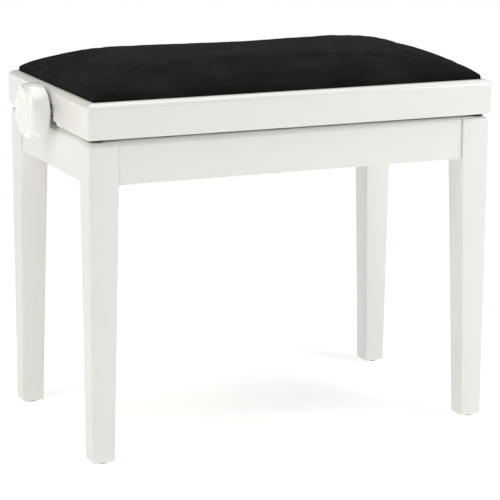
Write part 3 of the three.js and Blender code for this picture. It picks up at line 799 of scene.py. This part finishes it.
def turnedPiece(node, name, direction, outline, finish, segments=48):
    # outline is (radius, distance from the node's near end, corner radius)
    low, high, middle = boxOf(node)
    along = Vector(direction)
    half = sum(abs(a) * (h - l) for a, h, l in zip(along, high, low)) / 2
    turn = Vector((0, 0, 1)).rotation_difference(along).to_matrix().to_4x4()
    place = Matrix.Translation(middle - along * half) @ turn
    obj = toObject(latheMesh(outline, 5, segments, place), name)
    return finishPiece(obj, finish, bodyOf[node], [node])


def ringOutline(bore, radius, length, ease, flange=0, flangeLength=0):
    near = [(bore, 0, ease / 2), (flange or radius, 0, ease)]
    if flange:
        near += [(flange, flangeLength, ease), (radius, flangeLength, 0)]
    return near + [(radius, length, ease), (bore, length, ease / 2)]


knob = {
    "rim": 35 * mm,
    "back": 31.5 * mm,
    "backRound": 5 * mm,
    "face": 27 * mm,
    "faceRound": 9 * mm,
    "thickness": 30.5 * mm,
    "barrel": 0.7 * mm,
    "dome": 3.8 * mm,
    "socket": 6.25 * mm,
    "socketDepth": 20 * mm,
    "steps": 14,
    "barrelSteps": 10,
    "domeSteps": 8,
}


def knobOutline():
    rim = knob["rim"] - knob["barrel"]
    faceEdge = knob["thickness"] - knob["dome"]
    faceStart = faceEdge - knob["faceRound"]
    outline = [(0, knob["socketDepth"]), (knob["socket"], knob["socketDepth"]), (knob["socket"], 0)]
    for k in range(knob["steps"] + 1):
        angle = (math.pi / 2) * k / knob["steps"]
        radius = knob["back"] + (rim - knob["back"]) * math.sin(angle)
        outline.append((radius, knob["backRound"] * (1 - math.cos(angle))))
    for k in range(1, knob["barrelSteps"]):
        t = k / knob["barrelSteps"]
        along = knob["backRound"] + (faceStart - knob["backRound"]) * t
        outline.append((rim + knob["barrel"] * math.sin(math.pi * t), along))
    for k in range(knob["steps"] + 1):
        angle = (math.pi / 2) * k / knob["steps"]
        radius = knob["face"] + (rim - knob["face"]) * math.cos(angle)
        outline.append((radius, faceStart + knob["faceRound"] * math.sin(angle)))
    for k in range(1, knob["domeSteps"] + 1):
        radius = knob["face"] * (1 - k / knob["domeSteps"])
        outline.append((radius, knob["thickness"] - knob["dome"] * (radius / knob["face"]) ** 2))
    return [(radius, along, 0) for radius, along in outline]


for endName, side in ends.items():
    title = "round_knob_" + endName
    turnedPiece("knob_" + endName, title, (side, 0, 0), knobOutline(), knobGloss, 112)


thread = {
    "rod": 6 * mm,
    "lead": 3 * mm,
    "pitchRadius": 5.25 * mm,
    "core": 5.2 * mm,
    "ridge": 0.75 * mm,
    "start": 0.118,
    "stop": 0.234,
    "steps": 26,
    "runOut": 1.2 * mm,
    "ease": 0.3 * mm,
    "endEase": 0.8 * mm,
    "clear": 1.5 * mm,
}


def buildSpindle():
    low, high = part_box("spindle")
    radius = thread["rod"]
    start, stop = (thread[key] - low.x for key in ("start", "stop"))
    length = high.x - low.x
    core, runOut, ease, endEase = (thread[key] for key in ("core", "runOut", "ease", "endEase"))
    outline = [
        (0, 0, 0), (radius, 0, endEase), (radius, start, ease), (core, start + runOut, ease),
        (core, stop - runOut, ease), (radius, stop, ease), (radius, length, endEase), (0, length, 0),
    ]
    turnedPiece("spindle", "spindle_rod", (1, 0, 0), outline, zincTurned, 48)


buildSpindle()


def lengthOf(node):
    low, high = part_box(node)
    return high.y - low.y


pinHead = {"radius": 7 * mm, "rise": 2.4 * mm, "round": 1.9 * mm, "under": 0.25 * mm, "bareEnd": 0.5 * mm}
shanks = {"pin": 4 * mm, "driveRod": 5 * mm}


def pinOutline(length, startHead, endHead, shank):
    head, rise, rounding, under, bare = pinHead.values()
    outline = [(0, 0, 0)]
    inner = rise if startHead else 0
    outer = length - rise if endHead else length
    outline += [(head, 0, rounding), (head, rise, under)] if startHead else []
    outline += [(shank, inner, 0 if startHead else bare), (shank, outer, 0 if endHead else bare)]
    outline += [(head, outer, under), (head, length, rounding)] if endHead else []
    return outline + [(0, length, 0)]


ringSizes = {
    "roller": {"bore": 5.3 * mm, "radius": 9.5 * mm, "ease": 0.7 * mm},
    "collar": {"bore": 6.25 * mm, "radius": 11 * mm, "length": 8 * mm, "ease": 0.7 * mm},
    "washer": {"bore": 6.6 * mm, "radius": 10.5 * mm, "length": 1.3 * mm, "ease": 0.3 * mm},
    "bushing": {
        "bore": 6.25 * mm, "radius": 9 * mm, "length": 5.3 * mm, "ease": 0.5 * mm,
        "flange": 11 * mm, "flangeLength": 2 * mm,
    },
    "nut": {
        "bore": 6.3 * mm, "radius": 9 * mm, "length": 19.3 * mm, "ease": 0.5 * mm,
        "flange": 12 * mm, "flangeLength": 3 * mm,
    },
}
glide = {
    "sole": 9.6 * mm, "rim": 11 * mm, "rimFrom": 0.9 * mm, "top": 1.7 * mm,
    "nail": 1.2 * mm, "shoulder": 13.6 * mm, "point": 14.9 * mm,
}
stopPad = {"radius": 9.5 * mm, "lowerEase": 0.6 * mm, "upperEase": 0.3 * mm}
pinKinds = {
    "centre_pin_": ("crossing_pin_", True, False),
    "slide_pin_": ("sliding_pin_", True, True),
    "seat_pin_": ("hanging_pin_", True, True),
}
for halfName, half in halves.items():
    for prefix, (title, startHead, endHead) in pinKinds.items():
        outline = pinOutline(lengthOf(prefix + halfName), startHead, endHead, shanks["pin"])
        turnedPiece(prefix + halfName, title + halfName, (0, half, 0), outline, pinSteel, 40)
    wheel = ringOutline(length=lengthOf("rod_roller_" + halfName), **ringSizes["roller"])
    turnedPiece("rod_roller_" + halfName, "nylon_roller_" + halfName, (0, half, 0), wheel, nylon, 48)

for node, title, headed, shank in (
    ("pivot_rod", "fixed_rod", True, shanks["pin"]),
    ("drive_rod", "pushing_rod", False, shanks["driveRod"]),
):
    outline = pinOutline(lengthOf(node), headed, headed, shank)
    turnedPiece(node, title, (0, 1, 0), outline, zincTurned)
for endName, side in ends.items():
    bushing = ringOutline(**ringSizes["bushing"])
    turnedPiece("bushing_" + endName, "brass_bushing_" + endName, (side, 0, 0), bushing, brass)
    collar = ringOutline(**ringSizes["collar"])
    turnedPiece("collar_" + endName, "stop_collar_" + endName, (side, 0, 0), collar, pinSteel)
turnedPiece("drive_nut", "brass_nut", (1, 0, 0), ringOutline(**ringSizes["nut"]), brass)

for cornerName in cornerTurns:
    foot = [
        (0, 0, 0), (glide["sole"], 0, 0.5 * mm), (glide["rim"], glide["rimFrom"], 0.4 * mm),
        (glide["rim"], glide["top"], 0.2 * mm), (glide["nail"], glide["top"], 0),
        (glide["nail"], glide["shoulder"], 0.3 * mm), (0, glide["point"], 0),
    ]
    turnedPiece("glide_" + cornerName, "nail_glide_" + cornerName, (0, 0, 1), foot, glidePlastic, 40)
    low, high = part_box("bumper_" + cornerName)
    thick = high.z - low.z
    radius, lower, upper = stopPad.values()
    pad = [(0, 0, 0), (radius, 0, lower), (radius, thick, upper), (0, thick, 0)]
    turnedPiece("bumper_" + cornerName, "stop_pad_" + cornerName, (0, 0, 1), pad, rubber, 40)
print("turned pieces made")


# Steel, braces and board

easedEdges = {
    "outer_arm_": ("outer_lift_arm_", zincAlongX, "zinc_steel", 0.4 * mm),
    "inner_arm_": ("inner_lift_arm_", zincAlongX, "zinc_steel", 0.4 * mm),
    "base_angle_": ("lower_angle_", blackPowder, "black_steel", 0.35 * mm),
    "seat_angle_": ("upper_angle_", blackPowder, "black_steel", 0.35 * mm),
}
for halfName in halves:
    for prefix, (title, finish, slot, width) in easedEdges.items():
        soften(prefix + halfName, title + halfName, finish, width)
for endName in ends:
    soften("spindle_bracket_" + endName, "bearing_plate_" + endName, blackPowder, 0.4 * mm)
soften("crosshead", "crosshead_block", blackPowder, 0.8 * mm)
for cornerName, quarter in cornerTurns.items():
    beech = woodLeaning if quarter % 2 == 0 else woodLeaningBack
    soften("corner_brace_" + cornerName, "corner_block_" + cornerName, beech, 0.9 * mm)
    soften("leg_bolt_" + cornerName, "hex_bolt_" + cornerName, zincTurned, 0.5 * mm)
    low, high, middle = boxOf("corner_brace_" + cornerName)
    inward = Vector((-math.copysign(1, middle.x), -math.copysign(1, middle.y), 0)).normalized()
    corner = Vector((high.x if middle.x > 0 else low.x, high.y if middle.y > 0 else low.y, middle.z))
    reach = (high.x - low.x) / math.sqrt(2)
    turn = Vector((0, 0, 1)).rotation_difference(inward).to_matrix().to_4x4()
    place = Matrix.Translation(corner + inward * reach) @ turn
    ring = latheMesh(ringOutline(**ringSizes["washer"]), 3, 40, place)
    finishPiece(toObject(ring, "washer_" + cornerName), zincTurned, "base")
soften("seat_board", "plywood_board", plywood, 1.0 * mm, 3)
print("steel, braces and board made")


# Thread, screws, cover margin and staples

def newTree(name, inputs):
    tree = bpy.data.node_groups.new(name, "GeometryNodeTree")
    tree.interface.new_socket(name="Geometry", in_out="INPUT", socket_type="NodeSocketGeometry")
    tree.interface.new_socket(name="Geometry", in_out="OUTPUT", socket_type="NodeSocketGeometry")
    for title, kind in inputs.items():
        tree.interface.new_socket(name=title, in_out="INPUT", socket_type="NodeSocket" + kind)
    graph = Graph(tree)
    return graph, graph.add("NodeGroupInput")


def closeTree(graph, shape, finish):
    real = graph.add("GeometryNodeRealizeInstances", {}, {"Geometry": shape})
    coated = graph.add("GeometryNodeSetMaterial", {}, {"Geometry": real, "Material": finish})
    graph.add("NodeGroupOutput", {}, {"Geometry": coated})
    return graph.tree


def growPiece(name, source, tree, values, finish, body, crease=35):
    # runs a tree on source and keeps the result as a plain mesh
    grower = source.modifiers.new("grow", "NODES")
    grower.node_group = tree
    for item in tree.interface.items_tree:
        if item.in_out == "INPUT" and item.name in values:
            grower[item.identifier] = values[item.name]
    graph = bpy.context.evaluated_depsgraph_get()
    mesh = bpy.data.meshes.new_from_object(source.evaluated_get(graph))
    bpy.data.objects.remove(source)
    print(name, "has", len(mesh.polygons), "faces")
    return finishPiece(inScene(name, mesh), finish, body, crease=crease)


def threadTree():
    graph, given = newTree("rolled thread", {
        "Lead": "Float", "Length": "Float", "Pitch radius": "Float", "Ridge": "Float",
        "Steps": "Int", "Place": "Vector", "Turn": "Vector", "Finish": "Material",
    })
    spiral = graph.add("GeometryNodeCurveSpiral", {}, {
        "Resolution": given.out("Steps"),
        "Rotations": given.out("Length") / given.out("Lead"),
        "Start Radius": given.out("Pitch radius"),
        "End Radius": given.out("Pitch radius"),
        "Height": given.out("Length"),
    })
    ridge = graph.add("GeometryNodeCurvePrimitiveCircle", {}, {"Resolution": 8, "Radius": given.out("Ridge")})
    wound = graph.add("GeometryNodeCurveToMesh", {}, {
        "Curve": spiral, "Profile Curve": ridge, "Fill Caps": True,
    })
    laid = graph.add("GeometryNodeTransform", {}, {
        "Geometry": wound, "Translation": given.out("Place"), "Rotation": given.out("Turn"),
    })
    return closeTree(graph, laid, given.out("Finish"))


def buildThread():
    middle = boxOf("spindle")[2]
    source = toObject(bmesh.new(), "thread_seed")
    clear = thread["clear"]
    start = thread["start"] + clear
    values = {
        "Lead": thread["lead"],
        "Length": thread["stop"] - clear - start,
        "Pitch radius": thread["pitchRadius"],
        "Ridge": thread["ridge"],
        "Steps": thread["steps"],
        "Place": (start, middle.y, middle.z),
        "Turn": (0, math.pi / 2, 0),
        "Finish": zincTurned,
    }
    growPiece("spindle_thread", source, threadTree(), values, zincTurned, "spindle", 60)


def pointsObject(places):
    # one vertex for each (place, facing) pair; facing is a direction or a heading about Z
    mesh = bpy.data.meshes.new("places")
    mesh.from_pydata([place for place, _ in places], [], [])
    kind, field = ("FLOAT", "value") if isinstance(places[0][1], float) else ("FLOAT_VECTOR", "vector")
    facing = mesh.attributes.new("facing", kind, "POINT")
    for item, (_, direction) in zip(facing.data, places):
        setattr(item, field, direction)
    return inScene("places", mesh)


def fixingTree(title, kind, aim):
    # one fixing on each point, turned by aim, which is given the point's facing and a random twist
    graph, given = newTree(title, {"Fixing": "Object", "Twist": "Float", "Seed": "Int", "Finish": "Material"})
    facing = graph.add("GeometryNodeInputNamedAttribute", {"data_type": kind}, {"Name": "facing"})
    twist = graph.add("FunctionNodeRandomValue", {"data_type": "FLOAT"}, {
        "Min": given.out("Twist") * -1, "Max": given.out("Twist"), "Seed": given.out("Seed"),
    })
    shape = graph.add("GeometryNodeObjectInfo", {}, {"Object": given.out("Fixing")}).out("Geometry")
    laid = graph.add("GeometryNodeInstanceOnPoints", {}, {
        "Points": given.out("Geometry"), "Instance": shape, "Rotation": aim(graph, facing, twist),
    })
    return closeTree(graph, laid, given.out("Finish"))


def standOn(graph, facing, twist):
    turned = graph.add("ShaderNodeCombineXYZ", {}, {"Z": twist})
    return graph.add("FunctionNodeAlignEulerToVector", {"axis": "Z"}, {"Rotation": turned, "Vector": facing})


def hangBelow(graph, facing, twist):
    return graph.add("ShaderNodeCombineXYZ", {}, {"X": math.pi, "Z": facing + twist})


screwHead = {
    "radius": 4.1 * mm, "height": 2.1 * mm, "round": 1.4 * mm,
    "slot": 1.1 * mm, "slotLength": 4.6 * mm, "depth": 1.1 * mm,
}
screws = {
    "wall": 2.5 * mm,  # thickness of the steel that a head rests on
    "alongSeat": (-0.234, -0.078, 0.002, 0.078, 0.234),
    "flangeShift": 0.6 * mm,
    "baseLower": 8 * mm,
    "baseUpper": 7 * mm,
    "plateAcross": 13 * mm,
    "plateRises": (7 * mm, 22 * mm),
    "twist": 1.4,
    "seed": 4,
}


def blockObject(size, middle, name):
    bm = bmesh.new()
    bmesh.ops.create_cube(bm, size=1)
    bmesh.ops.scale(bm, vec=size, verts=bm.verts)
    bmesh.ops.translate(bm, vec=middle, verts=bm.verts)
    return toObject(bm, name)


def makeScrewHead():
    radius, height = screwHead["radius"], screwHead["height"]
    outline = [(0, 0, 0), (radius, 0, 0), (radius, height, screwHead["round"]), (0, height, 0)]
    head = toObject(latheMesh(outline, 4, 24, Matrix.Identity(4), closed=False), "screw_head")
    depth = screwHead["depth"]
    for size in ((screwHead["slotLength"], screwHead["slot"]), (screwHead["slot"], screwHead["slotLength"])):
        subtractFrom(head, blockObject((*size, 2 * depth), (0, 0, height), "cross_slot"))
    return head


def buildScrews():
    head = makeScrewHead()
    baseLow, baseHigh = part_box("base_angle_front")
    seatLow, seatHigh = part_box("seat_angle_front")
    plateLow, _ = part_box("spindle_bracket_right")
    wall = screws["wall"]
    flangeY = (abs(seatLow.y) + abs(seatHigh.y)) / 2 - screws["flangeShift"]
    flangeZ = seatHigh.z - wall
    onBase, onSeat = [], []
    for half in (-1, 1):
        for x in screws["alongSeat"]:
            onSeat.append(((x, half * flangeY, flangeZ), (0, 0, -1)))
        for side in (-1, 1):
            for z in (baseLow.z + screws["baseLower"], baseHigh.z - screws["baseUpper"]):
                onBase.append(((side * (baseHigh.x - wall), half * flangeY, z), (-side, 0, 0)))
    for side in (-1, 1):
        for y in (-screws["plateAcross"], screws["plateAcross"]):
            for rise in screws["plateRises"]:
                onBase.append(((side * plateLow.x, y, plateLow.z + rise), (-side, 0, 0)))
    values = {"Fixing": head, "Twist": screws["twist"], "Seed": screws["seed"], "Finish": zincTurned}
    tree = fixingTree("screws on points", "FLOAT_VECTOR", standOn)
    growPiece("frame_screws", pointsObject(onBase), tree, values, zincTurned, "base")
    growPiece("seat_screws", pointsObject(onSeat), tree, values, zincTurned, "seat")
    bpy.data.objects.remove(head)


margin = {
    "thickness": 0.7 * mm,
    "outer": 22.5 * mm,
    "inner": 41 * mm,
    "wave": 2.4 * mm,
    "sheetGap": 0.05 * mm,
    "step": 6 * mm,
    "staplePitch": 21 * mm,
    "stapleLine": 33 * mm,
    "angleClear": 1.5 * mm,
    "cornerClear": 18 * mm,
    "sag": 0.25 * mm,
    "ease": 0.25 * mm,
}


def marginRuns():
    # (side, start, stop) along each side, leaving the steel angles free
    lengthHalf = cadHighOf("seat_rail_right").x - margin["outer"]
    depthHalf = cadHighOf("seat_rail_back").y - margin["outer"]
    low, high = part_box("seat_angle_back")
    clear = margin["angleClear"]
    depthStop = depthHalf - margin["cornerClear"]
    runs = [("front", -lengthHalf, lengthHalf), ("back", -lengthHalf, lengthHalf)]
    for side in ("left", "right"):
        runs.append((side, -low.y + clear, low.y - clear))
        runs.append((side, high.y + clear, depthStop))
        runs.append((side, -depthStop, -high.y - clear))
    return runs


def buildMargin():
    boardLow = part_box("seat_board")[0].z
    top = boardLow - margin["sheetGap"]
    bottom = top - margin["thickness"]
    places = []
    for number, (side, start, stop) in enumerate(marginRuns()):
        turn = sideTurns[side]
        reach = cadHighOf("seat_rail_back").y if turn % 2 == 0 else cadHighOf("seat_rail_right").x
        count = max(2, round((stop - start) / margin["step"]))
        rings = []
        for k in range(count + 1):
            x = start + (stop - start) * k / count
            wave = noise.noise((x * 42, number * 3.1, 0.4)) * margin["wave"]
            outer = -reach + margin["outer"]
            inner = -reach + margin["inner"] + wave
            sag = margin["sag"] * (noise.noise((x * 60, number, 2)) + 0.5)
            ring = [(x, outer, top), (x, inner, top), (x, inner, bottom - sag), (x, outer, bottom)]
            rings.append([turnZ(turn) @ Vector(p) for p in ring])
        obj = toObject(loftMesh(rings), "cover_margin_" + side + "_" + str(number))
        ease = obj.modifiers.new("soft edge", "BEVEL")
        ease.width = margin["ease"]
        ease.segments = 2
        bakeModifiers(obj)
        finishPiece(obj, velvetFinish, "seat")
        staples = max(1, round((stop - start) / margin["staplePitch"]))
        for k in range(staples):
            x = start + (stop - start) * (k + 0.5) / staples
            spot = turnZ(turn) @ Vector((x, -reach + margin["stapleLine"], bottom - 0.1 * mm))
            places.append((spot, turn * math.pi / 2))
    return places


wire = {
    "length": 10.5 * mm, "width": 1.1 * mm, "thick": 0.6 * mm, "round": 0.4 * mm, "skew": 0.3, "seed": 11,
}


def makeStaple():
    half, thick, rounding = wire["length"] / 2, wire["thick"], wire["round"]
    outline = filletOutline([
        (-half, 0, 0), (half, 0, 0), (half, thick, rounding), (-half, thick, rounding),
    ], 2)
    edge = wire["width"] / 2
    rings = [[Vector((p.x, y, p.y)) for p in outline] for y in (-edge, edge)]
    return toObject(loftMesh(rings), "staple")


def buildStaples(places):
    shape = makeStaple()
    tree = fixingTree("staples on points", "FLOAT", hangBelow)
    values = {"Fixing": shape, "Twist": wire["skew"], "Seed": wire["seed"], "Finish": zincTurned}
    growPiece("cover_staples", pointsObject(places), tree, values, zincTurned, "seat")
    bpy.data.objects.remove(shape)


buildThread()
buildScrews()
buildStaples(buildMargin())
print("thread, screws and staples made")


# Floor, lights and camera

def placeLight(name, energy, size, colour, place, target):
    lamp = bpy.data.lights.new(name, "AREA")
    lamp.shape = "RECTANGLE"
    lamp.size, lamp.size_y = size
    lamp.energy = energy
    lamp.color = colour
    obj = inScene(name, lamp)
    obj.location = place
    obj.rotation_euler = (Vector(target) - Vector(place)).to_track_quat("-Z", "Y").to_euler()


floor = {
    "radius": 30, "wall": 3.2, "albedo": 0.86, "albedoHigh": 0.88,
    "near": 0.56, "far": 0.86, "from": 0.8, "to": 3.4,  # glow near and far, and where it changes
}


def buildFloor():
    bm = bmesh.new()
    bmesh.ops.create_circle(bm, cap_ends=True, segments=96, radius=floor["radius"])
    rim = bmesh.ops.extrude_edge_only(bm, edges=[edge for edge in bm.edges if edge.is_boundary])
    for vert in (part for part in rim["geom"] if isinstance(part, bmesh.types.BMVert)):
        vert.co.z = floor["wall"]
    obj = toObject(bm, "floor")
    material = bpy.data.materials.new("white floor")
    material.use_nodes = True
    material.node_tree.nodes.clear()
    graph = Graph(material.node_tree)
    place = graph.add("ShaderNodeTexCoord").out("Object")
    tone = graph.tint(graph.cloud(place, 3, 2), grey(floor["albedo"]), grey(floor["albedoHigh"]))
    away = graph.add("ShaderNodeVectorMath", {"operation": "LENGTH"}, {0: place}).out("Value")
    glow = graph.tint(graph.ramp(away, floor["from"], floor["to"]), grey(floor["near"]), grey(floor["far"]))
    sockets = {"Base Color": tone, "Roughness": 0.9, "Emission Color": glow, "Emission Strength": 1}
    shader = graph.add("ShaderNodeBsdfPrincipled", {}, sockets)
    graph.add("ShaderNodeOutputMaterial", {}, {"Surface": shader})
    obj.data.materials.append(material)


studio = {
    "air": rgb(1, 0.995, 0.985),
    "airStrength": 0.10,
    "lights": [  # name, watts, size, colour, place, target
        ("overhead", 37, (2.6, 2.2), (1, 1, 1), (0.2, -0.1, 2.6), (0, 0, 0.3)),
        ("left", 4.2, (0.7, 0.7), (1, 0.96, 0.87), (-0.98, -0.22, 0.98), (-0.25, 0, 0.36)),
        ("right front", 7.4, (0.7, 0.7), (1, 1, 1), (1.05, -0.8, 1.0), (0.24, -0.1, 0.38)),
    ],
}
buildFloor()
world = bpy.data.worlds.new("studio")
world.use_nodes = True
air = world.node_tree.nodes["Background"].inputs
air["Color"].default_value = studio["air"]
air["Strength"].default_value = studio["airStrength"]
scene.world = world
scene.view_settings.view_transform = "Standard"
for light in studio["lights"]:
    placeLight(*light)

view = {
    "lens": 151.97,
    "sensor": 36,
    "place": (-1.0868, -2.4994, 0.8459),
    "heading": -23.595,
    "tilt": -13.012,
    "roll": 0.273,
}
lens = bpy.data.cameras.new("camera")
lens.lens = view["lens"]
lens.sensor_width = view["sensor"]
camera = inScene("camera", lens)
heading, tilt, roll = (math.radians(view[key]) for key in ("heading", "tilt", "roll"))
aimed = Matrix.Rotation(heading, 4, "Z") @ Matrix.Rotation(math.pi / 2 + tilt, 4, "X")
camera.matrix_world = Matrix.Translation(view["place"]) @ aimed @ Matrix.Rotation(roll, 4, "Z")
scene.camera = camera

print("scene ready")
